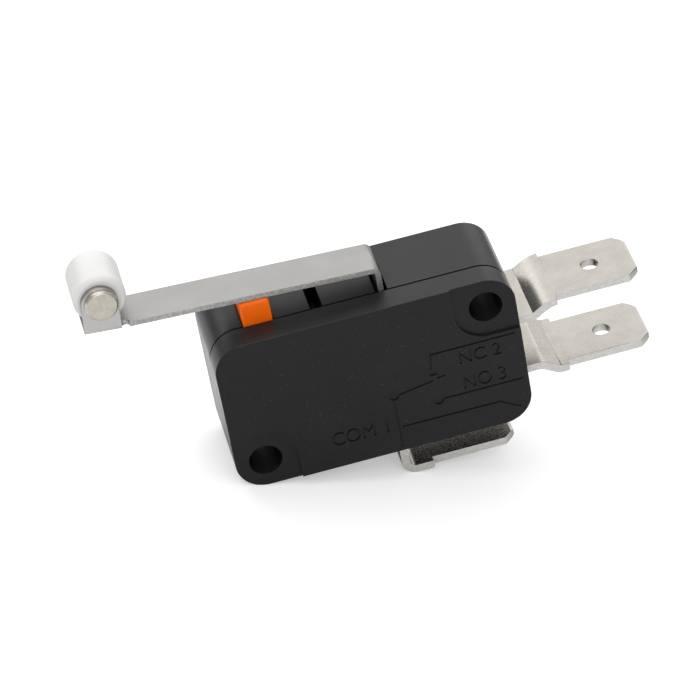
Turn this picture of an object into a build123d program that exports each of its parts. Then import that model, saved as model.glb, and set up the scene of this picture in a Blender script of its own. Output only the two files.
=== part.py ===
from build123d import *
import os
from math import asin, cos, degrees, radians, sin, sqrt, tan

os.makedirs("parts", exist_ok=True)

# Frame: the origin is midway between the two mounting holes, on the rear mounting face.
# X runs along the body towards the two side terminals, Z is the way the plunger stands out,
# and the front cover faces -Y. A "depth" is a distance in front of the rear face.

# Housing
body_length = 27.8
body_height = 15.9
body_thickness = 10.3
cover_thickness = 2.9
corner_radius = 2.8
mounting_hole_diameter = 3.1
side_wall = 1.2
rear_wall = 1.2
front_wall = 1.25
terminal_wall = 2.2
boss_wall = 1.15
rear_edge_round = 0.25
front_edge_round = 0.1
seam_groove_width = 0.2
seam_groove_depth = 0.35
pad_reach = 3.0
pad_sink = 0.28
peg_diameter = 1.5
peg_length = 2.0
peg_boss_wall = 0.65
peg_places = [(-3.6, -5.5), (9.4, -5.6), (6.4, 5.5)]

# Clearances
slide_gap = 0.1
slot_gap = 0.04
pivot_gap = 0.05
rivet_gap = 0.01
contact_gap = 0.03
lever_gap = 0.04

# Lever slots in the top wall: one for the hinge as fitted, one for the other hand
slot_width = 1.15
spare_slot_x = -3.6
hinge_x = 2.45
hinge_sink = 1.75
slot_block_side = 1.1
slot_block_floor = 1.2

# Lever
strip_thickness = 0.5
strip_width = 4.2
strip_front_depth = 7.3
strip_lift = 1.98
strip_rise = 2.9
fold_round = 0.7
lug_height = 0.9
lug_reach = 0.45
clevis_x = -20.9
clevis_rise = 5.0
clevis_length = 3.35
clevis_outer_depth = 7.65
relief_length = 0.75
relief_width = 0.45
relief_round = 0.33
ear_bend = 0.32
strip_overlap = 0.1

# Roller and its pin
roller_diameter = 4.8
roller_length = 5.0
roller_round = 0.5
roller_side_gap = 0.05
pin_shift = 0.1
roller_height = 3.15
pin_diameter = 1.5
pin_head_diameter = 3.0
pin_head_thickness = 0.5
pin_head_bevel = 0.18
pin_tail_diameter = 2.4
pin_tail_thickness = 0.35

# Plunger
plunger_inset = 4.93
plunger_width = 2.75
plunger_depth_size = 4.2
plunger_front_gap = 0.03
plunger_round = 0.45
plunger_side_round = 0.2
guide_length = 3.55
flange_reach = 0.7
flange_thickness = 0.9
flange_drop = 0.1
foot_height = 0.9
foot_bottom = 0.0
foot_end_x = -3.45
foot_width = 3.2
hook_hole_diameter = 0.66
hook_hole_margin = 0.55

# Terminals
terminal_thickness = 0.8
tab_width = 6.35
tab_length = 8.0
tab_corner = 1.0
tip_bevel_length = 0.35
tip_bevel_depth = 0.12
tab_hole_diameter = 1.65
tab_hole_from_tip = 3.95
shoulder_width = 7.6
inner_width = 5.6
nc_shoulder_reach = 3.9
no_shoulder_reach = 4.1
root_flat_reach = 1.6
joggle_reach = 3.2
joggle_inner_round = 0.6
joggle_outer_round = 3.4
anchor_length = 0.8
dimple_diameter = 2.5
dimple_depth = 0.28
dimple_inset = 0.3
nc_boss_gap = 0.1
nc_joggle_rise = 1.0
root_spacing = 5.55
no_joggle_drop = 0.95
no_arm_rise = 1.1
no_arm_bend = 1.0
no_arm_round = 0.7
inner_end_margin = 1.7
com_plate_x = 1.15
com_shoulder_x = 4.1
com_drop = 3.85
com_bend_round = 1.4
com_block_side = 1.5
com_block_height = 1.5

# Switching mechanism
contact_inset = 5.7
fixed_contact_diameter = 3.0
fixed_contact_height = 0.6
shank_diameter = 1.5
rivet_tail_diameter = 2.2
rivet_tail_height = 0.25
moving_contact_diameter = 2.6
moving_contact_height = 0.45
contact_crown = 4.0
contact_bevel = 0.15
arm_thickness = 0.4
arm_side_gap = 0.1
arm_tail = 1.5
notch_depth = 0.3
edge_taper = 0.35
fork_gap = 3.0
fork_rise = 0.95
fork_bottom_z = -2.3
window_side_gap = 0.1
window_margin = 0.7
hook_hole_inset = 1.62

# Springs: the wire is a polygon with a few flats
wire_facet_count = 6
snap_coil_radius = 0.9
snap_wire = 0.34
snap_turns = 10
loop_leg = 0.73
loop_turn = 290
return_offset = 1.07
return_coil_radius = 0.95
return_wire = 0.3
return_turns = 4.5
return_seat_z = -3.4
return_pillar_side = 0.35

# Places worked out from the sizes above
seam_depth = body_thickness - cover_thickness
mid_depth = body_thickness / 2
half_length = body_length / 2
half_height = body_height / 2
hole_spacing_x = body_length - 2 * corner_radius
hole_spacing_z = body_height - 2 * corner_radius
boss_radius = mounting_hole_diameter / 2 + boss_wall
hole_places = [
    (hole_spacing_x / 2, hole_spacing_z / 2),
    (-hole_spacing_x / 2, -hole_spacing_z / 2),
]
hinge_z = half_height - hinge_sink
strip_height = half_height + strip_lift
cavity_left = -half_length + side_wall
cavity_right = half_length - terminal_wall
cavity_top = half_height - side_wall
cavity_bottom = -half_height + side_wall
cover_cavity_depth = body_thickness - front_wall

slot_places = [spare_slot_x, hinge_x]
slot_floor_z = hinge_z - slot_width / 2 - slot_block_floor
strip_rear_depth = strip_front_depth - strip_width
lug_rear_depth = strip_rear_depth - lug_reach
lug_front_depth = strip_front_depth + lug_reach

plunger_x = -half_length + plunger_inset
return_x = plunger_x + return_offset
plunger_left = plunger_x - plunger_width / 2
plunger_right = plunger_x + plunger_width / 2
plunger_front_depth = seam_depth - plunger_front_gap
plunger_rear_depth = plunger_front_depth - plunger_depth_size
guide_bottom = half_height - guide_length
strip_slope = tan(radians(strip_rise))
plunger_top = strip_height - strip_slope * (plunger_right - plunger_round) - lever_gap

terminal_rear_depth = mid_depth - shoulder_width / 2
terminal_front_depth = mid_depth + shoulder_width / 2
nc_shoulder_x = half_length + nc_shoulder_reach
no_shoulder_x = half_length + no_shoulder_reach
root_flat_end = half_length + root_flat_reach
joggle_end = half_length + joggle_reach
dimple_x = half_length - dimple_inset
nc_tip_x = nc_shoulder_x + tab_length
no_tip_x = no_shoulder_x + tab_length
com_tip_x = com_shoulder_x + tab_length
com_plate_right = com_plate_x + terminal_thickness
com_wide_top = cavity_bottom + anchor_length
com_tab_bottom = -half_height - com_drop

nc_root_top = hole_spacing_z / 2 - boss_radius - nc_boss_gap
nc_tab_top = nc_root_top + nc_joggle_rise
no_root_top = nc_root_top - root_spacing
no_tab_top = no_root_top - no_joggle_drop
no_arm_top = no_root_top + no_arm_rise
contact_x = half_length - contact_inset
inner_end_x = contact_x - inner_end_margin

# The moving contact swings evenly about the notch, between the two fixed contacts
moving_half = arm_thickness / 2 + moving_contact_height
upper_stop = nc_root_top - terminal_thickness - fixed_contact_height - contact_gap - moving_half
lower_stop = no_arm_top + fixed_contact_height + contact_gap + moving_half
pivot_x = com_plate_right - notch_depth + contact_gap
pivot_z = (upper_stop + lower_stop) / 2
arm_reach = contact_x - pivot_x
arm_angle = degrees(asin((upper_stop - lower_stop) / 2 / arm_reach))
arm_plane = Plane(
    origin=(pivot_x, -mid_depth, pivot_z),
    x_dir=(cos(radians(arm_angle)), 0, sin(radians(arm_angle))),
    z_dir=(-sin(radians(arm_angle)), 0, cos(radians(arm_angle))),
)

hook_hole_x = arm_reach - hook_hole_inset
window_length = hook_hole_x - window_margin
hook_right = arm_plane.from_local_coords((hook_hole_x, 0, 0))
hook_left = Vector(foot_end_x - hook_hole_margin, -mid_depth, foot_bottom + foot_height / 2)
hook_line = hook_right - hook_left
spring_plane = Plane(
    origin=(hook_left + hook_right) * 0.5,
    x_dir=hook_line,
    z_dir=(0, -1, 0),
)
hook_span = hook_line.length
hook_inner_radius = snap_coil_radius - snap_wire / 2

clevis_plane = Plane(
    origin=(clevis_x, 0, strip_height - strip_slope * clevis_x),
    x_dir=(cos(radians(clevis_rise)), 0, -sin(radians(clevis_rise))),
    z_dir=(sin(radians(clevis_rise)), 0, cos(radians(clevis_rise))),
)
clevis_inner_width = roller_length + 2 * roller_side_gap
clevis_rear_depth = clevis_outer_depth - clevis_inner_width - 2 * strip_thickness
roller_front_depth = clevis_outer_depth - strip_thickness - roller_side_gap
roller_axis = clevis_plane.from_local_coords((pin_shift - clevis_length / 2, 0, roller_height))
roller_plane = Plane(origin=roller_axis, x_dir=(1, 0, 0), z_dir=(0, -1, 0))
clevis_side = Plane(origin=clevis_plane.origin, x_dir=clevis_plane.x_dir, z_dir=(0, -1, 0))
clevis_section = Plane(origin=clevis_plane.origin, x_dir=(0, -1, 0), z_dir=-clevis_plane.x_dir)


def span_rectangle(x_low, x_high, y_low, y_high, mode=Mode.ADD):
    """A rectangle between two pairs of limits in the sketch in hand."""
    with Locations(((x_low + x_high) / 2, (y_low + y_high) / 2)):
        Rectangle(x_high - x_low, y_high - y_low, mode=mode)


def body_outline():
    """The rounded outline that the case and the cover share."""
    RectangleRounded(body_length, body_height, corner_radius)


def cavity_outline():
    """The hollow inside the walls, with the bosses, guides and blocks left standing."""
    span_rectangle(cavity_left, cavity_right, cavity_bottom, cavity_top)
    with Locations(*hole_places):
        Circle(boss_radius, mode=Mode.SUBTRACT)
    for x, z in hole_places:
        side = 1 if x > 0 else -1
        span_rectangle(
            *sorted((x, x + side * boss_radius)),
            *sorted((z, z + side * boss_radius)),
            mode=Mode.SUBTRACT,
        )
    with Locations(*peg_places):
        Circle(peg_diameter / 2 + peg_boss_wall, mode=Mode.SUBTRACT)
    for x in slot_places:
        half_block = slot_width / 2 + slot_block_side
        span_rectangle(x - half_block, x + half_block, slot_floor_z, cavity_top, mode=Mode.SUBTRACT)
    span_rectangle(
        cavity_left,
        plunger_right + flange_reach + slide_gap,
        guide_bottom,
        cavity_top,
        mode=Mode.SUBTRACT,
    )
    span_rectangle(
        com_plate_x - com_block_side,
        com_plate_right + com_block_side,
        cavity_bottom,
        cavity_bottom + com_block_height,
        mode=Mode.SUBTRACT,
    )
    half_pillar = return_coil_radius + return_wire / 2 + return_pillar_side
    span_rectangle(
        return_x - half_pillar,
        return_x + half_pillar,
        cavity_bottom,
        return_seat_z,
        mode=Mode.SUBTRACT,
    )


def hook_hole_shift(plate_thickness):
    """How far beyond the hook point a hole is centred, so that the loop bears on its edge."""
    bearing = snap_coil_radius - sqrt(hook_inner_radius**2 - (plate_thickness / 2) ** 2)
    return hook_hole_diameter / 2 - bearing - contact_gap


def terminal_openings():
    """Where the three terminals pass through the walls."""
    for top in (nc_root_top, no_root_top):
        span_rectangle(
            cavity_right,
            half_length,
            top - terminal_thickness - slot_gap,
            top + slot_gap,
        )
    span_rectangle(
        com_plate_x - slot_gap,
        com_plate_right + slot_gap,
        -half_height,
        cavity_bottom + com_block_height,
    )


def strip_profile(points, thickness, bend_radii):
    """A sheet strip seen on edge: its middle line through the points, rounded at the bends."""
    with BuildLine() as middle:
        FilletPolyline(*points, radius=bend_radii)
    trace(middle.line, line_width=thickness)


def tab_sides(root_x, shoulder, tip):
    """Plan of a push-on tab: wide root, square shoulders and a tapered tip."""
    root_half = shoulder_width / 2
    tab_half = tab_width / 2
    with BuildLine() as sides:
        Polyline(
            (root_x, root_half - mid_depth),
            (shoulder, root_half - mid_depth),
            (shoulder, tab_half - mid_depth),
            (tip - tab_corner, tab_half - mid_depth),
            (tip, tab_half - tab_corner - mid_depth),
            (tip, tab_corner - tab_half - mid_depth),
            (tip - tab_corner, -tab_half - mid_depth),
            (shoulder, -tab_half - mid_depth),
            (shoulder, -root_half - mid_depth),
            (root_x, -root_half - mid_depth),
            close=True,
        )
    make_face(sides.edges())
    with Locations((tip - tab_hole_from_tip, -mid_depth)):
        Circle(tab_hole_diameter / 2, mode=Mode.SUBTRACT)


# Case: the deep rear shell that carries the plunger, the lever and the terminals
with BuildPart() as case:
    with BuildSketch(Plane.XZ):
        body_outline()
    extrude(amount=seam_depth)
    fillet(case.faces().sort_by(Axis.Y)[-1].edges(), rear_edge_round)
    with BuildSketch(Plane.XZ.offset(rear_wall)):
        cavity_outline()
    extrude(amount=seam_depth - rear_wall, mode=Mode.SUBTRACT)
    # Channel for the plunger, open at the seam
    with BuildSketch(Plane.XZ.offset(plunger_rear_depth - slide_gap)):
        span_rectangle(
            plunger_left - slide_gap,
            plunger_right + slide_gap,
            guide_bottom,
            half_height,
        )
    extrude(amount=seam_depth - plunger_rear_depth + slide_gap, mode=Mode.SUBTRACT)
    # Lever slots with a round floor, and the pockets behind them for the hinge lugs
    with BuildSketch(Plane.XZ.offset(strip_rear_depth - slide_gap)):
        for x in slot_places:
            span_rectangle(x - slot_width / 2, x + slot_width / 2, hinge_z, half_height)
            with Locations((x, hinge_z)):
                Circle(slot_width / 2)
    extrude(amount=seam_depth - strip_rear_depth + slide_gap, mode=Mode.SUBTRACT)
    with BuildSketch(Plane.XZ.offset(lug_rear_depth - slide_gap)):
        with Locations(*[(x, hinge_z) for x in slot_places]):
            Circle(slot_width / 2)
    extrude(amount=lug_reach + slide_gap, mode=Mode.SUBTRACT)
    # Terminal slots, open at the seam
    with BuildSketch(Plane.XZ.offset(terminal_rear_depth - slot_gap)):
        terminal_openings()
    extrude(amount=seam_depth - terminal_rear_depth + slot_gap, mode=Mode.SUBTRACT)
    # Holes for the cover's pegs and the two mounting screws
    with BuildSketch(Plane.XZ.offset(seam_depth - peg_length - slide_gap)):
        with Locations(*peg_places):
            Circle(peg_diameter / 2 + slot_gap)
    extrude(amount=peg_length + slide_gap, mode=Mode.SUBTRACT)
    with BuildSketch(Plane.XZ):
        with Locations(*hole_places):
            Circle(mounting_hole_diameter / 2)
    extrude(amount=seam_depth, mode=Mode.SUBTRACT)

# Cover: the shallow front shell, pegged to the case at the seam
with BuildPart() as cover:
    with BuildSketch(Plane.XZ.offset(seam_depth)):
        body_outline()
    extrude(amount=cover_thickness)
    fillet(cover.faces().sort_by(Axis.Y)[0].edges(), front_edge_round)
    # Narrow groove all round where the cover meets the case
    with BuildSketch(Plane.XZ.offset(seam_depth)):
        body_outline()
        offset(amount=-seam_groove_depth, mode=Mode.SUBTRACT)
    extrude(amount=seam_groove_width, mode=Mode.SUBTRACT)
    with BuildSketch(Plane.XZ.offset(seam_depth)):
        cavity_outline()
    extrude(amount=cover_cavity_depth - seam_depth, mode=Mode.SUBTRACT)
    # Notches that close the terminal slots, and pockets for the front hinge lugs
    with BuildSketch(Plane.XZ.offset(seam_depth)):
        terminal_openings()
    extrude(amount=terminal_front_depth + slot_gap - seam_depth, mode=Mode.SUBTRACT)
    with BuildSketch(Plane.XZ.offset(seam_depth)):
        with Locations(*[(x, hinge_z) for x in slot_places]):
            Circle(slot_width / 2)
    extrude(amount=lug_front_depth + slide_gap - seam_depth, mode=Mode.SUBTRACT)
    # Sunk pads round the mounting holes, open to the corner
    with BuildSketch(Plane.XZ.offset(body_thickness - pad_sink)):
        with Locations(*hole_places):
            Circle(pad_reach)
        for x, z in hole_places:
            side = 1 if x > 0 else -1
            edge_x = side * half_length
            edge_z = side * half_height
            span_rectangle(*sorted((x, edge_x)), *sorted((z - side * pad_reach, edge_z)))
            span_rectangle(*sorted((x - side * pad_reach, edge_x)), *sorted((z, edge_z)))
    extrude(amount=pad_sink, mode=Mode.SUBTRACT)
    # Locating pegs
    with BuildSketch(Plane.XZ.offset(seam_depth - peg_length)):
        with Locations(*peg_places):
            Circle(peg_diameter / 2)
    extrude(amount=peg_length)
    with BuildSketch(Plane.XZ.offset(seam_depth)):
        with Locations(*hole_places):
            Circle(mounting_hole_diameter / 2)
    extrude(amount=cover_thickness, mode=Mode.SUBTRACT)

# Plunger: a moulded push button with a stop flange and a foot that holds the snap spring
with BuildPart() as plunger:
    with BuildSketch(Plane.XZ.offset(plunger_rear_depth)):
        span_rectangle(plunger_left, plunger_right, foot_bottom, plunger_top)
    extrude(amount=plunger_depth_size)
    fillet(plunger.edges().filter_by(Axis.Z), plunger_side_round)
    crown_edges = plunger.faces().sort_by(Axis.Z)[-1].edges()
    fillet(crown_edges, plunger_round)
    flange_top = guide_bottom - flange_drop
    with BuildSketch(Plane.XZ.offset(plunger_rear_depth)):
        span_rectangle(
            plunger_left - flange_reach,
            plunger_right + flange_reach,
            flange_top - flange_thickness,
            flange_top,
        )
    extrude(amount=plunger_depth_size)
    with BuildSketch(Plane.XZ.offset(mid_depth - foot_width / 2)):
        span_rectangle(plunger_right, foot_end_x, foot_bottom, foot_bottom + foot_height)
    extrude(amount=foot_width)
    foot_hole = hook_left - Vector(hook_hole_shift(foot_height), 0, 0)
    with Locations(Plane(origin=foot_hole, z_dir=(0, 0, 1))):
        Hole(hook_hole_diameter / 2, foot_height)

# Lever: one folded strip with a clevis at one end and a hinge tail at the other
with BuildPart() as lever:
    # The clevis is a folded U whose two ears have round tops
    clevis_top = roller_height + clevis_length / 2
    sheet_middle = strip_thickness / 2
    with BuildSketch(clevis_section):
        strip_profile(
            [
                (clevis_outer_depth - sheet_middle, clevis_top),
                (clevis_outer_depth - sheet_middle, sheet_middle),
                (clevis_rear_depth + sheet_middle, sheet_middle),
                (clevis_rear_depth + sheet_middle, clevis_top),
            ],
            strip_thickness,
            ear_bend,
        )
    extrude(amount=clevis_length)
    with BuildSketch(clevis_side):
        span_rectangle(-clevis_length, 0, 0, roller_height)
        with Locations((-clevis_length / 2, roller_height)):
            Circle(clevis_length / 2)
    extrude(amount=body_thickness, mode=Mode.INTERSECT)
    # The strip and its tail
    strip_middle = strip_height + strip_thickness / 2 / cos(radians(strip_rise))
    strip_end = clevis_x - strip_overlap
    tail_bottom = hinge_z - lug_height / 2
    with BuildSketch(Plane.XZ.offset(strip_rear_depth)):
        strip_profile(
            [
                (hinge_x, tail_bottom),
                (hinge_x, strip_middle - strip_slope * hinge_x),
                (strip_end, strip_middle - strip_slope * strip_end),
            ],
            strip_thickness,
            fold_round - strip_thickness / 2,
        )
    extrude(amount=strip_width)
    # Hinge lugs on both sides of the tail's foot
    with BuildSketch(Plane.XZ.offset(lug_rear_depth)):
        with Locations((hinge_x, hinge_z)):
            Rectangle(strip_thickness, lug_height)
    extrude(amount=strip_width + 2 * lug_reach)
    # Relief notches beside the roots of the ears
    with BuildSketch(clevis_plane):
        for depth in (strip_front_depth, strip_rear_depth):
            with Locations((relief_length / 2, -depth)):
                RectangleRounded(relief_length, 2 * relief_width, relief_round)
    extrude(amount=2 * strip_thickness, both=True, mode=Mode.SUBTRACT)
    with Locations(roller_plane.offset(mid_depth)):
        Hole(pin_diameter / 2 + rivet_gap)

# Roller and the rivet it turns on
with BuildPart() as roller:
    with BuildSketch(roller_plane.offset(roller_front_depth - roller_length)):
        Circle(roller_diameter / 2)
    extrude(amount=roller_length)
    fillet(roller.edges().filter_by(GeomType.CIRCLE), roller_round)
    with BuildSketch(roller_plane.offset(roller_front_depth - roller_length)):
        Circle(pin_diameter / 2 + pivot_gap)
    extrude(amount=roller_length, mode=Mode.SUBTRACT)

with BuildPart() as roller_pin:
    pin_length = clevis_outer_depth - clevis_rear_depth
    with BuildSketch(roller_plane.offset(clevis_rear_depth)):
        Circle(pin_diameter / 2)
    extrude(amount=pin_length)
    with BuildSketch(roller_plane.offset(clevis_outer_depth)):
        Circle(pin_head_diameter / 2)
    extrude(amount=pin_head_thickness)
    with BuildSketch(roller_plane.offset(clevis_rear_depth - pin_tail_thickness)):
        Circle(pin_tail_diameter / 2)
    extrude(amount=pin_tail_thickness)
    ends = roller_pin.faces().filter_by(Axis.Y).sort_by(Axis.Y)
    chamfer(ends[0].edges(), pin_head_bevel)
    fillet(ends[-1].edges(), pin_head_bevel)

# Terminals: tin-plated strips that pass through the end wall and the floor
nc_middle = nc_root_top - terminal_thickness / 2
no_middle = no_root_top - terminal_thickness / 2
no_arm_middle = no_arm_top - terminal_thickness / 2
no_bend_end = cavity_right - anchor_length
inner_trim = (shoulder_width - inner_width) / 2


def terminal_strip(points, bend_radii):
    """The full-width strip of a terminal, before its sides are trimmed."""
    with BuildSketch(Plane.XZ.offset(terminal_rear_depth)) as edge_view:
        strip_profile(points, terminal_thickness, bend_radii)
    extrude(edge_view.sketch, amount=shoulder_width)


def bevel_tip(tab):
    """Slopes both faces at the very end of a tab, so that a receptacle slides on."""
    tip_face = tab.faces().sort_by(Axis.X)[-1]
    tip_edges = tip_face.edges().filter_by(Axis.Y)
    chamfer(tip_edges, tip_bevel_depth, tip_bevel_length, reference=tip_face)


def trim_inner_arm():
    """Narrows the part of a side terminal that lies inside the housing."""
    with BuildSketch() as trims:
        for y in (-terminal_rear_depth, -terminal_front_depth):
            with Locations((no_bend_end - body_height / 2, y)):
                Rectangle(body_height, 2 * inner_trim)
    extrude(trims.sketch, amount=half_height, both=True, mode=Mode.SUBTRACT)


with BuildPart() as nc_terminal:
    nc_tab_middle = nc_tab_top - terminal_thickness / 2
    terminal_strip(
        [
            (inner_end_x, nc_middle),
            (root_flat_end, nc_middle),
            (joggle_end, nc_tab_middle),
            (nc_tip_x, nc_tab_middle),
        ],
        (joggle_inner_round, joggle_outer_round),
    )
    with BuildSketch(Plane.XY):
        tab_sides(inner_end_x, nc_shoulder_x, nc_tip_x)
    extrude(amount=half_height, both=True, mode=Mode.INTERSECT)
    trim_inner_arm()
    bevel_tip(nc_terminal)
    with Locations(Plane(origin=(contact_x, -mid_depth, nc_middle))):
        Hole(shank_diameter / 2 + rivet_gap)
    # Round stamped dimple half inside the wall, which keeps the terminal from being pulled out
    dimple_radius = ((dimple_diameter / 2) ** 2 + dimple_depth**2) / (2 * dimple_depth)
    with Locations((dimple_x, -mid_depth, nc_root_top + dimple_radius - dimple_depth)):
        Sphere(dimple_radius, mode=Mode.SUBTRACT)

with BuildPart() as no_terminal:
    no_tab_middle = no_tab_top - terminal_thickness / 2
    terminal_strip(
        [
            (inner_end_x, no_arm_middle),
            (no_bend_end - no_arm_bend, no_arm_middle),
            (no_bend_end, no_middle),
            (root_flat_end, no_middle),
            (joggle_end, no_tab_middle),
            (no_tip_x, no_tab_middle),
        ],
        no_arm_round,
    )
    with BuildSketch(Plane.XY):
        tab_sides(inner_end_x, no_shoulder_x, no_tip_x)
    extrude(amount=half_height, both=True, mode=Mode.INTERSECT)
    trim_inner_arm()
    bevel_tip(no_terminal)
    with Locations(Plane(origin=(contact_x, -mid_depth, no_arm_middle))):
        Hole(shank_diameter / 2 + rivet_gap)

with BuildPart() as com_terminal:
    com_plate_middle = com_plate_x + terminal_thickness / 2
    com_tab_middle = com_tab_bottom + terminal_thickness / 2
    terminal_strip(
        [
            (com_plate_middle, pivot_z + fork_rise),
            (com_plate_middle, com_tab_middle),
            (com_tip_x, com_tab_middle),
        ],
        com_bend_round - terminal_thickness / 2,
    )
    with BuildSketch(Plane.XY.offset(com_tab_bottom)):
        tab_sides(com_plate_x, com_shoulder_x, com_tip_x)
    extrude(amount=body_height, mode=Mode.INTERSECT)
    bevel_tip(com_terminal)
    # Inside the housing the plate is narrower, and its top is a fork with a pivot notch
    with BuildSketch(Plane.YZ.offset(com_plate_x)):
        for y in (-terminal_rear_depth, -terminal_front_depth):
            with Locations((y, com_wide_top + half_height)):
                Rectangle(2 * inner_trim, body_height)
        with Locations((-mid_depth, fork_bottom_z + half_height)):
            Rectangle(fork_gap, body_height)
    extrude(amount=terminal_thickness, mode=Mode.SUBTRACT)
    with BuildSketch(Plane.XZ.offset(terminal_rear_depth)):
        with BuildLine():
            Polyline(
                (com_plate_right - notch_depth, pivot_z),
                (com_plate_right, pivot_z - notch_depth),
                (com_plate_right, pivot_z + notch_depth),
                close=True,
            )
        make_face()
    extrude(amount=shoulder_width, mode=Mode.SUBTRACT)


def fixed_contact(arm_middle, facing):
    """A contact rivet: its head faces the moving contact, its tail is closed on the far side."""
    shank_radius = shank_diameter / 2
    head_radius = fixed_contact_diameter / 2
    tail_radius = rivet_tail_diameter / 2
    face = facing * (terminal_thickness / 2 + fixed_contact_height)
    head_seat = facing * terminal_thickness / 2
    tail_seat = -head_seat
    tail_end = tail_seat - facing * rivet_tail_height
    arm_centre = (contact_x, -mid_depth, arm_middle)
    half_plane = Plane(origin=arm_centre, x_dir=(1, 0, 0), z_dir=(0, -1, 0))
    with BuildSketch(half_plane) as half:
        with BuildLine() as turned:
            Polyline(
                (0, face),
                (head_radius - contact_bevel, face),
                (head_radius, face - facing * contact_bevel),
                (head_radius, head_seat),
                (shank_radius, head_seat),
                (shank_radius, tail_seat),
                (tail_radius, tail_seat),
                (tail_radius, tail_end + facing * contact_bevel / 2),
                (tail_radius - contact_bevel, tail_end),
                (0, tail_end),
                close=True,
            )
        make_face(turned.edges())
    revolve(half.sketch, axis=Axis(arm_centre, (0, 0, 1)))


with BuildPart() as nc_contact:
    fixed_contact(nc_middle, -1)

with BuildPart() as no_contact:
    fixed_contact(no_arm_middle, 1)

# Contact arm: a forked plate whose knife edge rests in the notch of the middle terminal
arm_side = Plane(origin=arm_plane.origin, x_dir=arm_plane.x_dir, z_dir=(0, -1, 0))
arm_half_width = inner_width / 2 - arm_side_gap

with BuildPart() as contact_arm:
    with BuildSketch(arm_side.offset(-arm_half_width)):
        with BuildLine():
            Polyline(
                (0, 0),
                (edge_taper, arm_thickness / 2),
                (arm_reach + arm_tail, arm_thickness / 2),
                (arm_reach + arm_tail, -arm_thickness / 2),
                (edge_taper, -arm_thickness / 2),
                close=True,
            )
        make_face()
    extrude(amount=2 * arm_half_width)
    with BuildSketch(arm_plane):
        with Locations((window_length / 2, 0)):
            Rectangle(window_length, fork_gap - 2 * window_side_gap)
        with Locations((hook_hole_x + hook_hole_shift(arm_thickness), 0)):
            Circle(hook_hole_diameter / 2)
        with Locations((arm_reach, 0)):
            Circle(shank_diameter / 2 + rivet_gap)
    extrude(amount=arm_thickness, both=True, mode=Mode.SUBTRACT)
    arm_corners = (
        contact_arm.edges()
        .filter_by(lambda e: abs(e.tangent_at(0.5).dot(arm_plane.z_dir)) > 0.999)
        .sort_by(Axis.X)[-2:]
    )
    fillet(arm_corners, arm_tail)

# Moving contact: one double-headed rivet with a slight crown on both faces
with BuildPart() as moving_contact:
    head_radius = moving_contact_diameter / 2
    shank_radius = shank_diameter / 2
    seat = arm_thickness / 2
    head_edge = moving_half - contact_crown + (contact_crown**2 - head_radius**2) ** 0.5
    rivet_centre = arm_side.from_local_coords((arm_reach, 0, 0))
    rivet_side = Plane(origin=rivet_centre, x_dir=arm_side.x_dir, z_dir=arm_side.z_dir)
    with BuildSketch(rivet_side):
        with BuildLine():
            Polyline(
                (0, -moving_half),
                (0, moving_half),
            )
            RadiusArc((0, moving_half), (head_radius, head_edge), contact_crown)
            Polyline(
                (head_radius, head_edge),
                (head_radius, seat),
                (shank_radius, seat),
                (shank_radius, -seat),
                (head_radius, -seat),
                (head_radius, -head_edge),
            )
            RadiusArc((head_radius, -head_edge), (0, -moving_half), contact_crown)
        make_face()
    revolve(axis=Axis(rivet_centre, arm_plane.z_dir))

# Snap spring: a close-wound pull spring with a full loop at each end
coil_length = hook_span - 4 * snap_coil_radius - 2 * loop_leg
coil_start = spring_plane.from_local_coords((-coil_length / 2, 0, 0))

with BuildPart() as snap_spring:
    with BuildLine() as coil:
        Helix(
            coil_length / snap_turns,
            coil_length,
            snap_coil_radius,
            center=coil_start,
            direction=spring_plane.x_dir,
        )
    with BuildSketch(Plane(origin=coil.line @ 0, z_dir=coil.line % 0)):
        RegularPolygon(snap_wire / 2, wire_facet_count)
    sweep(is_frenet=True)
    # Each loop leaves the end of the coil, runs out along the spring and turns through its hole
    for coil_end, side in ((coil.line @ 0, -1), (coil.line @ 1, 1)):
        end = spring_plane.to_local_coords(coil_end)
        lift = 1 if end.Y > 0 else -1
        loop_x = side * (hook_span / 2 - snap_coil_radius)
        with BuildLine(spring_plane) as loop:
            Line((end.X, end.Y), (loop_x, end.Y))
            CenterArc(
                (loop_x, 0),
                snap_coil_radius,
                90 * lift,
                -side * lift * loop_turn,
            )
        with BuildSketch(Plane(origin=loop.line @ 0, z_dir=loop.line % 0)):
            RegularPolygon(snap_wire / 2, wire_facet_count)
        sweep(path=loop.line)

# Return spring: a coil between the pillar on the floor and the plunger's foot
with BuildPart() as return_spring:
    return_span = foot_bottom - return_seat_z - return_wire
    with BuildLine() as return_coil:
        Helix(
            return_span / return_turns,
            return_span,
            return_coil_radius,
            center=(return_x, -mid_depth, return_seat_z + return_wire / 2),
        )
    with BuildSketch(Plane(origin=return_coil.line @ 0, z_dir=return_coil.line % 0)):
        RegularPolygon(return_wire / 2, wire_facet_count)
    sweep(is_frenet=True)

pieces = {
    "case": case,
    "cover": cover,
    "plunger": plunger,
    "lever": lever,
    "roller": roller,
    "roller_pin": roller_pin,
    "nc_terminal": nc_terminal,
    "no_terminal": no_terminal,
    "com_terminal": com_terminal,
    "nc_contact": nc_contact,
    "no_contact": no_contact,
    "contact_arm": contact_arm,
    "moving_contact": moving_contact,
    "snap_spring": snap_spring,
    "return_spring": return_spring,
}
for name, piece in pieces.items():
    piece.part.label = name
    export_step(piece.part, f"parts/{name}.step")
    print(name, len(piece.part.solids()), round(piece.part.volume, 2))
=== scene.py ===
import bpy
import math
from mathutils import Matrix, Vector


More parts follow.
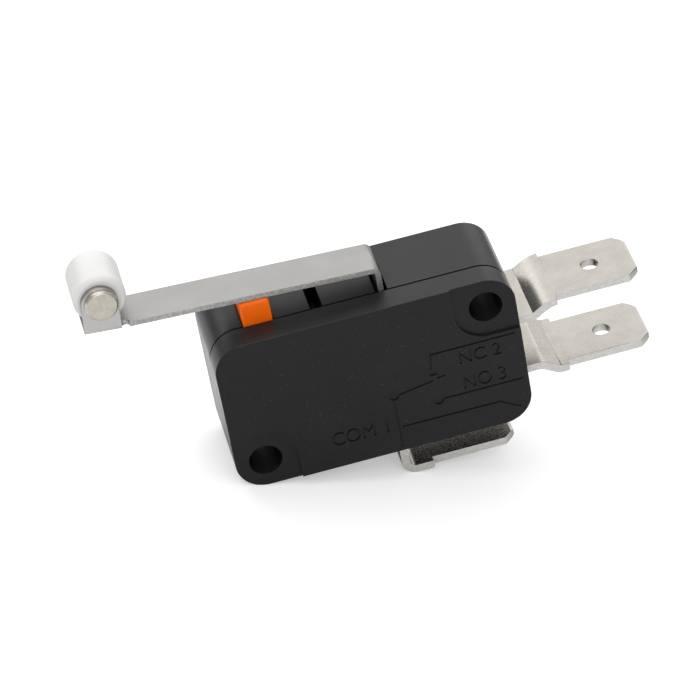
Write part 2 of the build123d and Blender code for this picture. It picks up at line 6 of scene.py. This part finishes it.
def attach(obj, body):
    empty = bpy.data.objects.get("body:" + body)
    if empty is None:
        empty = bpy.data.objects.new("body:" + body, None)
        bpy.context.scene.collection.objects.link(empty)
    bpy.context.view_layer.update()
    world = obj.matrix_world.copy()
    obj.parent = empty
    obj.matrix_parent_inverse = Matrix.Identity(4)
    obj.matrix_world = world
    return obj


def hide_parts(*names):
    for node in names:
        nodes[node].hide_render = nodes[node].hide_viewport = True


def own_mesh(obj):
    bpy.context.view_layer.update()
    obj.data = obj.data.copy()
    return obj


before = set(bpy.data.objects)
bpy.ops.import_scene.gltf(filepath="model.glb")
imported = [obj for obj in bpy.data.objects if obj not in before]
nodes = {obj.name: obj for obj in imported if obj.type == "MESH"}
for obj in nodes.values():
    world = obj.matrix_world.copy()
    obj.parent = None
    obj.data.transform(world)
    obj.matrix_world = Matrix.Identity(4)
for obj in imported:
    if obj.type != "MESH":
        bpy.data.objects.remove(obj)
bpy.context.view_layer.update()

mm = 0.001
print("frame loaded", len(nodes))


# Working helpers: selection, modifiers and copies of the CAD solids

weld = {"distance": 0.002, "flatAngle": 0.6}
smoothAngle = 32


def onlySelect(piece):
    bpy.ops.object.select_all(action="DESELECT")
    piece.select_set(True)
    bpy.context.view_layer.objects.active = piece


def applyModifier(piece, kind, **settings):
    onlySelect(piece)
    modifier = piece.modifiers.new(kind.title(), kind)
    for key, value in settings.items():
        setattr(modifier, key, value)
    bpy.ops.object.modifier_apply(modifier=modifier.name)


def placeInMesh(piece):
    # the place goes into the mesh, so the object ends at the origin
    onlySelect(piece)
    bpy.ops.object.transform_apply(location=True, rotation=True, scale=True)


def giveMaterial(piece, material):
    piece.data.materials.clear()
    piece.data.materials.append(material)


def finishFrom(nodeName, name, edge):
    # a welded copy of the CAD solid, with its sharp edges broken where edge has a width
    source = nodes[nodeName]
    piece = source.copy()
    piece.data = source.data.copy()
    piece.name = name
    piece.data.name = name
    for key in list(piece.keys()):
        del piece[key]
    bpy.context.scene.collection.objects.link(piece)
    piece.parent = None
    piece.matrix_world = Matrix.Identity(4)
    onlySelect(piece)
    bpy.ops.mesh.customdata_custom_splitnormals_clear()
    bpy.ops.object.mode_set(mode="EDIT")
    bpy.ops.mesh.select_all(action="SELECT")
    bpy.ops.mesh.remove_doubles(threshold=weld["distance"] * mm)
    bpy.ops.mesh.dissolve_limited(angle_limit=math.radians(weld["flatAngle"]))
    bpy.ops.object.mode_set(mode="OBJECT")
    if edge["width"] > 0:
        applyModifier(
            piece, "BEVEL", width=edge["width"] * mm, segments=edge["segments"],
            limit_method="ANGLE", angle_limit=math.radians(edge["limit"]),
            use_clamp_overlap=True, miter_outer="MITER_ARC",
        )
    return piece


def smoothByAngle(piece):
    onlySelect(piece)
    bpy.ops.object.shade_smooth_by_angle(angle=math.radians(smoothAngle))
    applyModifier(piece, "WEIGHTED_NORMAL", keep_sharp=True, mode="FACE_AREA")


def dressPart(nodeName, name, edge, material, body):
    piece = finishFrom(nodeName, name, edge)
    giveMaterial(piece, material)
    smoothByAngle(piece)
    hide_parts(nodeName)
    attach(piece, body)
    return piece


# Shader helpers: sizes and depths in mm

grainRoughness = 0.55
cloudBand = (0.35, 0.65)
roughBand = (0.3, 0.7)
pitBand = (0.50, 0.56)
sideBand = (0.6, 0.85)
dustFade = 0.03
spotFade = 0.04
beyondFade = 0.1


def newMaterial(name):
    material = bpy.data.materials.new(name)
    material.use_nodes = True
    tree = material.node_tree
    return material, tree, tree.nodes["Principled BSDF"]


def addNode(tree, kind, **values):
    node = tree.nodes.new(kind)
    for key, value in values.items():
        if key in node.inputs:
            node.inputs[key].default_value = value
        else:
            setattr(node, key, value)
    return node


def feed(tree, value, socket):
    # a socket takes another node's output, a number or a colour
    if hasattr(value, "is_output"):
        tree.links.new(value, socket)
    elif isinstance(value, (int, float)):
        socket.default_value = value
    else:
        socket.default_value = (*value, 1)


def objectCoordinates(tree, scale=(1, 1, 1)):
    coordinates = addNode(tree, "ShaderNodeTexCoord")
    mapping = addNode(tree, "ShaderNodeMapping", Scale=scale)
    tree.links.new(coordinates.outputs["Object"], mapping.inputs["Vector"])
    return mapping.outputs["Vector"]


def noise(tree, vector, size, detail):
    # size is the width of one grain
    node = addNode(tree, "ShaderNodeTexNoise", Scale=1 / (size * mm), Detail=detail)
    node.inputs["Roughness"].default_value = grainRoughness
    tree.links.new(vector, node.inputs["Vector"])
    return node.outputs["Fac"]


def levels(tree, value, band, limits):
    node = addNode(tree, "ShaderNodeMapRange")
    node.inputs["From Min"].default_value = band[0]
    node.inputs["From Max"].default_value = band[1]
    node.inputs["To Min"].default_value = limits[0]
    node.inputs["To Max"].default_value = limits[1]
    tree.links.new(value, node.inputs["Value"])
    return node.outputs["Result"]


def mixColours(tree, factor, first, second):
    # inputs 6 and 7 and output 2 are the node's colour sockets
    node = addNode(tree, "ShaderNodeMix", data_type="RGBA")
    feed(tree, factor, node.inputs[0])
    feed(tree, first, node.inputs[6])
    feed(tree, second, node.inputs[7])
    return node.outputs[2]


def combine(tree, operation, first, second):
    node = addNode(tree, "ShaderNodeMath", operation=operation)
    feed(tree, first, node.inputs[0])
    feed(tree, second, node.inputs[1])
    return node.outputs[0]


def multiply(tree, first, second):
    return combine(tree, "MULTIPLY", first, second)


def addBump(tree, shader, heights):
    # heights: (value, depth) pairs, stacked
    normal = None
    for value, depth in heights:
        node = addNode(tree, "ShaderNodeBump", Strength=1.0, Distance=depth * mm)
        tree.links.new(value, node.inputs["Height"])
        if normal:
            tree.links.new(normal, node.inputs["Normal"])
        normal = node.outputs["Normal"]
    tree.links.new(normal, shader.inputs["Normal"])


def sideMask(tree, axis):
    # 1 on faces that look along the axis, either way
    coordinates = addNode(tree, "ShaderNodeTexCoord")
    split = addNode(tree, "ShaderNodeSeparateXYZ")
    tree.links.new(coordinates.outputs["Normal"], split.inputs["Vector"])
    absolute = addNode(tree, "ShaderNodeMath", operation="ABSOLUTE")
    tree.links.new(split.outputs[axis], absolute.inputs[0])
    return levels(tree, absolute.outputs[0], sideBand, (0, 1))


def beyond(tree, x):
    # 1 to the right of x
    split = addNode(tree, "ShaderNodeSeparateXYZ")
    tree.links.new(objectCoordinates(tree), split.inputs["Vector"])
    return levels(tree, split.outputs["X"], ((x - beyondFade) * mm, x * mm), (0, 1))


def clouded(tree, cloud, look):
    return mixColours(tree, levels(tree, cloud, cloudBand, (0, 1)), look["colour"], look["otherColour"])


def roughness(tree, value, look):
    limits = (look["rough"] - look["roughVary"], look["rough"] + look["roughVary"])
    return levels(tree, value, roughBand, limits)


# Moulded plastics: cloudy colour, fine grain and a little dust, with the end faces polished

def mouldedPlastic(name, look):
    material, tree, shader = newMaterial(name)
    vector = objectCoordinates(tree)
    cloud = noise(tree, vector, look["cloudSize"], detail=2)
    grain = noise(tree, vector, look["grainSize"], detail=3)
    wave = noise(tree, vector, look["waveSize"], detail=1)
    specks = noise(tree, vector, look["dustSize"], detail=1)
    dust = levels(tree, specks, (look["dustLevel"], look["dustLevel"] + dustFade), (0, 1))
    base = clouded(tree, cloud, look)
    base = mixColours(tree, multiply(tree, dust, look["dustMix"]), base, look["dustColour"])
    tree.links.new(base, shader.inputs["Base Color"])
    polished = multiply(tree, sideMask(tree, "X"), -look["endPolish"])
    rough = combine(tree, "ADD", roughness(tree, cloud, look), polished)
    tree.links.new(rough, shader.inputs["Roughness"])
    shader.inputs["Specular IOR Level"].default_value = look["specular"]
    addBump(tree, shader, ((grain, look["grainDepth"]), (wave, look["waveDepth"])))
    return material


bodyLook = {
    "colour": (0.0082, 0.0084, 0.0096), "otherColour": (0.0100, 0.0101, 0.0114),
    "cloudSize": 5.0, "grainSize": 0.09, "grainDepth": 0.004, "waveSize": 2.5, "waveDepth": 0.008,
    "rough": 0.39, "roughVary": 0.04, "endPolish": 0.2, "specular": 0.25,
    "dustSize": 0.13, "dustLevel": 0.745, "dustMix": 0.4, "dustColour": (0.22, 0.21, 0.20),
}
plungerLook = {
    "colour": (1.0, 0.155, 0.0005), "otherColour": (0.97, 0.14, 0.0005),
    "cloudSize": 2.0, "grainSize": 0.12, "grainDepth": 0.003, "waveSize": 1.2, "waveDepth": 0.008,
    "rough": 0.42, "roughVary": 0.05, "endPolish": 0.0, "specular": 0.25,
    "dustSize": 0.2, "dustLevel": 0.78, "dustMix": 0.3, "dustColour": (0.5, 0.2, 0.05),
}
rollerLook = {
    "colour": (0.73, 0.725, 0.71), "otherColour": (0.70, 0.695, 0.68),
    "cloudSize": 2.5, "grainSize": 0.15, "grainDepth": 0.002, "waveSize": 1.0, "waveDepth": 0.006,
    "rough": 0.38, "roughVary": 0.05, "endPolish": 0.0, "specular": 0.5,
    "dustSize": 0.25, "dustLevel": 0.78, "dustMix": 0.4, "dustColour": (0.4, 0.3, 0.2),
    "milkiness": 0.35, "milkColour": (1.0, 0.9, 0.8), "milkDepth": 0.8,
}
bodyPlastic = mouldedPlastic("bodyPlastic", bodyLook)
plungerPlastic = mouldedPlastic("plungerPlastic", plungerLook)
rollerPlastic = mouldedPlastic("rollerPlastic", rollerLook)
rollerShader = rollerPlastic.node_tree.nodes["Principled BSDF"]
rollerShader.inputs["Subsurface Weight"].default_value = rollerLook["milkiness"]
rollerShader.inputs["Subsurface Radius"].default_value = rollerLook["milkColour"]
rollerShader.inputs["Subsurface Scale"].default_value = rollerLook["milkDepth"] * mm


# Sheet metals: rolling streaks and brown spots, with paler torn faces along the sheared edges

def sheetMetal(name, look):
    material, tree, shader = newMaterial(name)
    vector = objectCoordinates(tree)
    cloud = noise(tree, vector, look["cloudSize"], detail=3)
    streak = noise(tree, objectCoordinates(tree, look["streak"]), look["streakSize"], detail=4)
    specks = noise(tree, vector, look["spotSize"], detail=2)
    wave = noise(tree, vector, look["waveSize"], detail=1)
    tearing = noise(tree, objectCoordinates(tree, look["tear"]), look["tearSize"], detail=4)
    spots = levels(tree, specks, (look["spotLevel"], look["spotLevel"] + spotFade), (0, 1))
    side = sideMask(tree, "Y")
    edge = multiply(tree, side, beyond(tree, look["edgeFrom"]))
    pits = multiply(tree, levels(tree, tearing, pitBand, (look["pitMix"], 0)), edge)
    base = clouded(tree, cloud, look)
    base = mixColours(tree, multiply(tree, spots, look["spotMix"]), base, look["spotColour"])
    base = mixColours(tree, multiply(tree, side, look["edgeMix"]), base, look["edgeColour"])
    base = mixColours(tree, pits, base, look["spotColour"])
    tree.links.new(base, shader.inputs["Base Color"])
    coarser = multiply(tree, edge, look["edgeRough"] - look["rough"])
    rough = combine(tree, "ADD", roughness(tree, streak, look), coarser)
    tree.links.new(rough, shader.inputs["Roughness"])
    shader.inputs["Metallic"].default_value = 1
    torn = multiply(tree, tearing, edge)
    addBump(tree, shader, (
        (streak, look["streakDepth"]), (wave, look["waveDepth"]), (torn, look["tearDepth"]),
    ))
    return material


leverLook = {
    "colour": (0.30, 0.293, 0.285), "otherColour": (0.28, 0.273, 0.265),
    "cloudSize": 3.0, "streak": (0.12, 1, 1), "streakSize": 0.1, "streakDepth": 0.0012,
    "waveSize": 3.0, "waveDepth": 0.008, "rough": 0.38, "roughVary": 0.04,
    "spotSize": 0.16, "spotLevel": 0.66, "spotMix": 0.25, "spotColour": (0.28, 0.25, 0.22),
    "edgeFrom": -20.8, "edgeMix": 0.9, "edgeColour": (0.60, 0.59, 0.57), "edgeRough": 0.5,
    "tear": (0.5, 1, 0.5), "tearSize": 0.13, "tearDepth": 0.04, "pitMix": 0.45,
}
tabLook = {
    "colour": (0.37, 0.355, 0.325), "otherColour": (0.335, 0.318, 0.285),
    "cloudSize": 1.6, "streak": (0.5, 1, 1), "streakSize": 0.2, "streakDepth": 0.0015,
    "waveSize": 1.6, "waveDepth": 0.01, "rough": 0.27, "roughVary": 0.05,
    "spotSize": 0.13, "spotLevel": 0.67, "spotMix": 0.4, "spotColour": (0.16, 0.125, 0.09),
    "edgeFrom": -20.0, "edgeMix": 0.9, "edgeColour": (0.82, 0.81, 0.77), "edgeRough": 0.5,
    "tear": (0.35, 1, 0.8), "tearSize": 0.15, "tearDepth": 0.012, "pitMix": 0.12,
}
pinLook = {
    "colour": (0.66, 0.62, 0.54), "otherColour": (0.50, 0.47, 0.405),
    "cloudSize": 0.5, "streak": (1, 1, 1), "streakSize": 0.12, "streakDepth": 0.002,
    "waveSize": 0.6, "waveDepth": 0.01, "rough": 0.24, "roughVary": 0.05,
    "spotSize": 0.14, "spotLevel": 0.66, "spotMix": 0.3, "spotColour": (0.25, 0.2, 0.14),
    "edgeFrom": -40.0, "edgeMix": 0.3, "edgeColour": (0.72, 0.67, 0.57), "edgeRough": 0.48,
    "tear": (1, 1, 1), "tearSize": 0.2, "tearDepth": 0.0, "pitMix": 0.0,
}
springLook = dict(pinLook, colour=(0.5, 0.5, 0.5), otherColour=(0.44, 0.44, 0.44), rough=0.25)
copperLook = dict(pinLook, colour=(0.66, 0.34, 0.2), otherColour=(0.6, 0.3, 0.18), rough=0.3)
silverLook = dict(pinLook, colour=(0.8, 0.79, 0.77), otherColour=(0.74, 0.73, 0.71), rough=0.25)
leverSteel = sheetMetal("leverSteel", leverLook)
tabTin = sheetMetal("tabTin", tabLook)
pinNickel = sheetMetal("pinNickel", pinLook)
springWire = sheetMetal("springWire", springLook)
armCopper = sheetMetal("armCopper", copperLook)
contactSilver = sheetMetal("contactSilver", silverLook)
print("materials made")


# Housing: case and cover with broken edges, the cover with its sunk marks

mouldedEdge = {"width": 0.035, "segments": 2, "limit": 35}
stampedEdge = {"width": 0.05, "segments": 2, "limit": 35}
wireEdge = {"width": 0}

caseShell = finishFrom("case", "caseShell", mouldedEdge)
giveMaterial(caseShell, bodyPlastic)
smoothByAngle(caseShell)
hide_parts("case")
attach(caseShell, "housing")

coverShell = finishFrom("cover", "coverShell", mouldedEdge)

# Marks: places are (x, z) on the cover's face, and a word fills its two spans
marks = {
    "faceDepth": 10.3, "sink": 0.13, "stroke": 0.18, "cornerShare": 0.2, "cornerSegments": 2,
    "lines": [
        ((5.32, 1.75), (13.28, 1.76)),
        ((5.32, 1.75), (5.18, 0.18)),
        ((1.85, -1.69), (5.16, -1.12)),
        ((5.59, -0.93), (6.4, -0.86)),
        ((5.9, -3.37), (13.37, -3.37)),
        ((1.35, -2.34), (1.39, -7.48)),
        ((1.7, -5.25), (10.94, -5.32)),
        ((10.94, -5.32), (12.74, -6.43)),
    ],
    "rounds": [(1.45, -1.75), (5.42, -3.45)],
    "recess": 0.45, "roundSides": 24,
    "triangle": (5.33, -0.36),
    "words": [
        ("NC 2", (7.88, 11.8), (-0.12, 1.22)),
        ("NO 3", (7.9, 11.88), (-2.95, -1.5)),
        ("COM 1", (-4.82, 0.4), (-5.5, -4.02)),
    ],
}


def onFace(x, z):
    return (x * mm, -marks["faceDepth"] * mm, z * mm)


def markLine(start, end):
    # a flat bar with broken corners, stood through the cover's face
    length = (Vector(end) - Vector(start)).length
    middle = (Vector(start) + Vector(end)) / 2
    angle = math.atan2(end[1] - start[1], end[0] - start[0])
    bpy.ops.object.select_all(action="DESELECT")
    bpy.ops.mesh.primitive_cube_add(
        size=1, location=onFace(middle.x, middle.y), rotation=(0, -angle, 0),
        scale=(length * mm, 2 * marks["sink"] * mm, marks["stroke"] * mm),
    )
    bar = bpy.context.object
    placeInMesh(bar)
    applyModifier(
        bar, "BEVEL", width=marks["stroke"] * marks["cornerShare"] * mm,
        segments=marks["cornerSegments"], limit_method="ANGLE",
    )
    return bar


def markRecess(x, z, sides):
    # a shallow blind recess, round or three-cornered
    bpy.ops.object.select_all(action="DESELECT")
    bpy.ops.mesh.primitive_cylinder_add(
        vertices=sides, radius=marks["recess"] * mm, depth=2 * marks["sink"] * mm,
        location=onFace(x, z), rotation=(math.pi / 2, 0, 0),
    )
    recess = bpy.context.object
    placeInMesh(recess)
    return recess


def markWord(word, across, up):
    # plain letters, stretched to their two spans
    bpy.ops.object.select_all(action="DESELECT")
    bpy.ops.object.text_add()
    text = bpy.context.object
    text.data.body = word
    text.data.extrude = 1
    bpy.ops.object.convert(target="MESH")
    corners = [vertex.co for vertex in text.data.vertices]
    lows = [min(corner[i] for corner in corners) for i in (0, 1)]
    highs = [max(corner[i] for corner in corners) for i in (0, 1)]
    stretchX = (across[1] - across[0]) / (highs[0] - lows[0])
    stretchZ = (up[1] - up[0]) / (highs[1] - lows[1])
    text.scale = (stretchX * mm, stretchZ * mm, marks["sink"] * mm)
    text.rotation_euler = (math.pi / 2, 0, 0)
    text.location = onFace(across[0] - lows[0] * stretchX, up[0] - lows[1] * stretchZ)
    placeInMesh(text)
    return text


def sinkMark(shell, cutter):
    applyModifier(shell, "BOOLEAN", object=cutter, operation="DIFFERENCE", solver="EXACT")
    bpy.data.objects.remove(cutter)


for start, end in marks["lines"]:
    sinkMark(coverShell, markLine(start, end))
for x, z in marks["rounds"]:
    sinkMark(coverShell, markRecess(x, z, marks["roundSides"]))
sinkMark(coverShell, markRecess(*marks["triangle"], sides=3))
for word, across, up in marks["words"]:
    sinkMark(coverShell, markWord(word, across, up))
giveMaterial(coverShell, bodyPlastic)
smoothByAngle(coverShell)
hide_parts("cover")
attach(coverShell, "housing")
print("housing made")


# Metal and small parts

dressPart("lever", "rollerLever", stampedEdge, leverSteel, "lever")
dressPart("roller", "rollerWheel", mouldedEdge, rollerPlastic, "roller")
dressPart("roller_pin", "rollerRivet", mouldedEdge, pinNickel, "lever")
dressPart("plunger", "orangePlunger", mouldedEdge, plungerPlastic, "plunger")
for nodeName, name in (("nc_terminal", "ncTab"), ("no_terminal", "noTab"), ("com_terminal", "comTab")):
    dressPart(nodeName, name, stampedEdge, tabTin, "housing")

for nodeName, material in (
    ("nc_contact", contactSilver), ("no_contact", contactSilver), ("moving_contact", contactSilver),
    ("contact_arm", armCopper), ("snap_spring", springWire),
):
    giveMaterial(nodes[nodeName], material)

# The return coil, which shortens between its pillar and the plunger's foot, is dressed and gets a mesh
# of its own
returnCoil = dressPart("return_spring", "returnCoil", wireEdge, springWire, "housing")
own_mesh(returnCoil)
print("small parts made")


# Camera, solved from the photograph: places in mm, lens and sensor too, clipping in metres

cameraSet = {
    "place": (-31.8, -301.18, 215.15), "lens": 207.53, "sensor": 36, "near": 0.01, "far": 5,
    "right": (0.9639, -0.2143, -0.1580),
    "down": (-0.2528, -0.5501, -0.7959),
    "forward": (0.0836, 0.8071, -0.5844),
}
cameraData = bpy.data.cameras.new("camera")
camera = bpy.data.objects.new("camera", cameraData)
bpy.context.scene.collection.objects.link(camera)
cameraData.lens = cameraSet["lens"]
cameraData.sensor_width = cameraSet["sensor"]
cameraData.clip_start = cameraSet["near"]
cameraData.clip_end = cameraSet["far"]
upward = -Vector(cameraSet["down"])
backward = -Vector(cameraSet["forward"])
turn = Matrix((cameraSet["right"], upward, backward)).transposed()
camera.matrix_world = Matrix.Translation(Vector(cameraSet["place"]) * mm) @ turn.normalized().to_4x4()
bpy.context.scene.camera = camera


# Table: a paper disc, touched by the body's lower left corner and the common tab

tableSet = {"normal": (0.268, 0.0, 0.9634), "height": -10.736, "radius": 110, "sides": 96}
paperLook = {"colour": (0.8, 0.8, 0.815, 1), "rough": 0.9, "specular": 0.1, "glow": 0.36}


def tablePaper():
    # the glow is for camera rays only, and from below the disc is clear
    material, tree, shader = newMaterial("tablePaper")
    shader.inputs["Base Color"].default_value = paperLook["colour"]
    shader.inputs["Roughness"].default_value = paperLook["rough"]
    shader.inputs["Specular IOR Level"].default_value = paperLook["specular"]
    glow = addNode(tree, "ShaderNodeEmission", Color=(1, 1, 1, 1), Strength=paperLook["glow"])
    added = addNode(tree, "ShaderNodeAddShader")
    clear = addNode(tree, "ShaderNodeBsdfTransparent")
    rays = addNode(tree, "ShaderNodeLightPath")
    geometry = addNode(tree, "ShaderNodeNewGeometry")
    seen = addNode(tree, "ShaderNodeMixShader")
    sided = addNode(tree, "ShaderNodeMixShader")
    output = tree.nodes["Material Output"]
    tree.links.new(shader.outputs[0], added.inputs[0])
    tree.links.new(glow.outputs[0], added.inputs[1])
    tree.links.new(rays.outputs["Is Camera Ray"], seen.inputs[0])
    tree.links.new(shader.outputs[0], seen.inputs[1])
    tree.links.new(added.outputs[0], seen.inputs[2])
    tree.links.new(geometry.outputs["Backfacing"], sided.inputs[0])
    tree.links.new(seen.outputs[0], sided.inputs[1])
    tree.links.new(clear.outputs[0], sided.inputs[2])
    tree.links.new(sided.outputs[0], output.inputs["Surface"])
    return material


tableNormal = Vector(tableSet["normal"]).normalized()
bpy.ops.object.select_all(action="DESELECT")
bpy.ops.mesh.primitive_circle_add(
    vertices=tableSet["sides"], radius=tableSet["radius"] * mm, fill_type="NGON",
)
tableTop = bpy.context.object
tableTop.name = "tableTop"
tableTop.rotation_euler = tableNormal.to_track_quat("Z", "Y").to_euler()
tableTop.location = tableNormal * tableSet["height"] * mm
placeInMesh(tableTop)
giveMaterial(tableTop, tablePaper())


# Light: a soft world that the camera sees as white, and five soft boxes turned to the object

worldLook = {"soft": 0.5, "seen": 1.0}


def studioWorld():
    world = bpy.data.worlds.new("studio")
    world.use_nodes = True
    bpy.context.scene.world = world
    tree = world.node_tree
    output = tree.nodes["World Output"]
    soft = tree.nodes["Background"]
    soft.inputs["Color"].default_value = (1, 1, 1, 1)
    soft.inputs["Strength"].default_value = worldLook["soft"]
    white = addNode(tree, "ShaderNodeBackground", Color=(1, 1, 1, 1), Strength=worldLook["seen"])
    rays = addNode(tree, "ShaderNodeLightPath")
    mix = addNode(tree, "ShaderNodeMixShader")
    direct = combine(tree, "MAXIMUM", rays.outputs["Is Camera Ray"], rays.outputs["Is Transmission Ray"])
    tree.links.new(direct, mix.inputs[0])
    tree.links.new(soft.outputs[0], mix.inputs[1])
    tree.links.new(white.outputs[0], mix.inputs[2])
    tree.links.new(mix.outputs[0], output.inputs["Surface"])


studioWorld()

lamps = {
    "overhead": {"place": (0, 60, 500), "width": 600, "depth": 600, "radiance": 1.15},
    "back": {"place": (0, 440, 330), "width": 700, "depth": 400, "radiance": 1.25},
    "backRight": {"place": (250, 363, 100), "width": 260, "depth": 160, "radiance": 1.2},
    "backLeft": {"place": (-170, 400, 270), "width": 160, "depth": 200, "radiance": 0.8},
    "front": {"place": (0, -400, 300), "width": 500, "depth": 400, "radiance": 1.4},
}
for name, lamp in lamps.items():
    lampData = bpy.data.lights.new(name, "AREA")
    lampData.shape = "RECTANGLE"
    lampData.size = lamp["width"] * mm
    lampData.size_y = lamp["depth"] * mm
    lampData.energy = lamp["radiance"] * lampData.size * lampData.size_y * math.pi
    lampObject = bpy.data.objects.new(name, lampData)
    bpy.context.scene.collection.objects.link(lampObject)
    lampObject.visible_camera = False
    lampObject.location = Vector(lamp["place"]) * mm
    lampObject.rotation_euler = Vector(lamp["place"]).to_track_quat("Z", "Y").to_euler()

bpy.context.scene.view_settings.view_transform = "Standard"
print("stage made")
